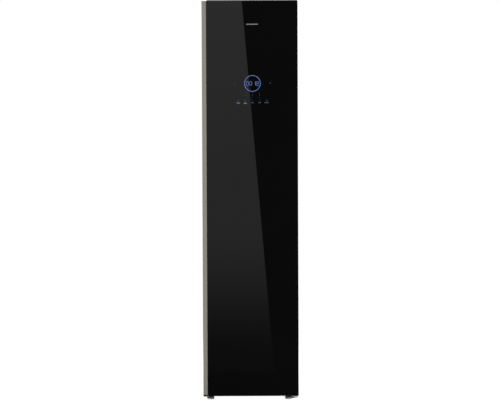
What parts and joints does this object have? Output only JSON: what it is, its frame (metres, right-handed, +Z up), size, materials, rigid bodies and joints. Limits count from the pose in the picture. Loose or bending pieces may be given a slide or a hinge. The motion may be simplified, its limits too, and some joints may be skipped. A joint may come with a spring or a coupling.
{
  "type": "clothes care steam cabinet",
  "caption": "Tall clothes care steam cabinet with a black glass door, edge grip, touch display, shaking hanger rail and lift-out water tanks.",
  "frame": {"origin": "on the floor under the middle of the cabinet and its door", "axes": "+Z up; -Y is the glass front; +X is the hinge side of the door"},
  "size_m": [0.44, 0.59, 1.85],
  "materials": {
    "black_glass": "polished, back-printed black",
    "champagne_aluminium": "fine satin anodised",
    "black_plastic": "fine moulded texture",
    "grey_plastic": "fine moulded texture",
    "grey_paint": "satin powder coat",
    "galvanised": "dull zinc",
    "liner_plastic": "satin white-grey",
    "foam": "rigid foam",
    "grey_rubber": "matte",
    "dark_rubber": "matte",
    "zinc_steel": "satin zinc plate",
    "copper": "drawn tube",
    "coil_aluminium": "mill finish fins",
    "black_enamel": "gloss black enamel",
    "tank_plastic": "clear smoked",
    "tank_lid_plastic": "satin",
    "hanger_plastic": "satin",
    "rail_metal": "satin chrome",
    "circuit_green": "solder resist",
    "milky_plastic": "translucent diffuser",
    "nylon": "moulded nylon"
  },
  "bodies": {
    "cabinet": {"upper_hinge": "zinc_steel", "lower_hinge": "zinc_steel", "hinge_cover": "grey_plastic", "base_pan": "galvanised", "side_panel_left": "grey_paint", "side_panel_right": "grey_paint", "top_cover": "grey_plastic", "back_panel": "galvanised", "service_cover": "galvanised", "power_inlet": "black_plastic", "panel_screws": "zinc_steel", "rear_feet": "dark_rubber", "cabin_wall_left": "liner_plastic", "cabin_wall_right": "liner_plastic", "cabin_back_wall": "liner_plastic", "cabin_ceiling": "liner_plastic", "side_insulation": "foam", "cabin_floor": "grey_plastic", "tank_bay": "grey_plastic", "lower_front_panel": "grey_plastic", "filter_housing": "grey_plastic", "cabin_lamp": "milky_plastic", "rail_guide": "zinc_steel", "shaker_motor": "zinc_steel", "air_duct": "grey_plastic", "evaporator": "coil_aluminium", "condenser": "coil_aluminium", "blower_motor": "black_plastic", "compressor": "black_enamel", "refrigerant_pipes": "copper", "steam_generator": "galvanised", "steam_pipe": "dark_rubber", "water_pumps": "black_plastic", "control_box": "grey_plastic"},
    "door": {"door_glass": "black_glass", "door_handle": "champagne_aluminium", "handle_end_caps": "black_plastic", "door_frame": "black_plastic", "door_foam": "foam", "door_inner_panel": "liner_plastic", "door_top_cap": "grey_plastic", "door_hinge_bushes": "nylon", "display_light_guide": "milky_plastic", "display_board": "circuit_green", "door_gasket": "grey_rubber"},
    "rail": {"hanger_rail": "rail_metal"},
    "pinion": {"shaker_pinion": "nylon"},
    "first_hanger": {"hanger_1": "hanger_plastic"},
    "middle_hanger": {"hanger_2": "hanger_plastic"},
    "last_hanger": {"hanger_3": "hanger_plastic"},
    "fan": {"blower_impeller": "black_plastic"},
    "supply": {"supply_tank": "tank_plastic", "supply_tank_lid": "tank_lid_plastic"},
    "drain": {"drain_tank": "tank_plastic", "drain_tank_lid": "tank_lid_plastic"},
    "filter": {"lint_filter": "black_plastic"},
    "left_foot": {"foot_pad_left": "grey_rubber"},
    "left_stud": {"foot_stud_left": "black_enamel"},
    "right_foot": {"foot_pad_right": "grey_rubber"},
    "right_stud": {"foot_stud_right": "black_enamel"}
  },
  "joints": [
    {"name": "door_hinge", "type": "hinge", "parent": "cabinet", "child": "door", "pos_m": [0.203, -0.264, 0.9], "axis": [0, 0, 1], "range_deg": [0, 110]},
    {"name": "rail_shake", "type": "slide", "parent": "cabinet", "child": "rail", "axis": [1, 0, 0], "range_m": [-0.012, 0.012]},
    {"name": "pinion_turn", "type": "hinge", "parent": "cabinet", "child": "pinion", "pos_m": [0, 0.0337, 1.814], "axis": [0, 0, 1], "range_deg": [-66, 66]},
    {"name": "first_hanger_swing", "type": "hinge", "parent": "rail", "child": "first_hanger", "pos_m": [-0.09, 0, 1.741], "axis": [1, 0, 0], "range_deg": [-15, 15]},
    {"name": "middle_hanger_swing", "type": "hinge", "parent": "rail", "child": "middle_hanger", "pos_m": [0, 0, 1.741], "axis": [1, 0, 0], "range_deg": [-15, 15]},
    {"name": "last_hanger_swing", "type": "hinge", "parent": "rail", "child": "last_hanger", "pos_m": [0.09, 0, 1.741], "axis": [1, 0, 0], "range_deg": [-15, 15]},
    {"name": "fan_spin", "type": "hinge", "parent": "cabinet", "child": "fan", "pos_m": [0.02, 0.132, 0.36], "axis": [0, 0, 1], "continuous": true},
    {"name": "supply_tank_lift", "type": "slide", "parent": "cabinet", "child": "supply", "axis": [0, 0, 1], "range_m": [0, 0.25]},
    {"name": "drain_tank_lift", "type": "slide", "parent": "cabinet", "child": "drain", "axis": [0, 0, 1], "range_m": [0, 0.25]},
    {"name": "filter_lift", "type": "slide", "parent": "cabinet", "child": "filter", "axis": [0, 0, 1], "range_m": [0, 0.24]},
    {"name": "left_foot_screw", "type": "hinge", "parent": "left_foot", "child": "left_stud", "pos_m": [-0.188, -0.189, 0.02], "axis": [0, 0, -1], "range_deg": [0, 2880]},
    {"name": "left_foot_lower", "type": "slide", "parent": "cabinet", "child": "left_foot", "axis": [0, 0, -1], "range_m": [0, 0.012]},
    {"name": "right_foot_screw", "type": "hinge", "parent": "right_foot", "child": "right_stud", "pos_m": [0.175, -0.189, 0.02], "axis": [0, 0, -1], "range_deg": [0, 2880]},
    {"name": "right_foot_lower", "type": "slide", "parent": "cabinet", "child": "right_foot", "axis": [0, 0, -1], "range_m": [0, 0.012]}
  ],
  "couplings": [
    {"joint": "pinion_turn", "follows": "rail_shake", "rad_per_m": 95.238},
    {"joint": "left_foot_screw", "follows": "left_foot_lower", "rad_per_m": 4188.8},
    {"joint": "right_foot_screw", "follows": "right_foot_lower", "rad_per_m": 4188.8}
  ]
}
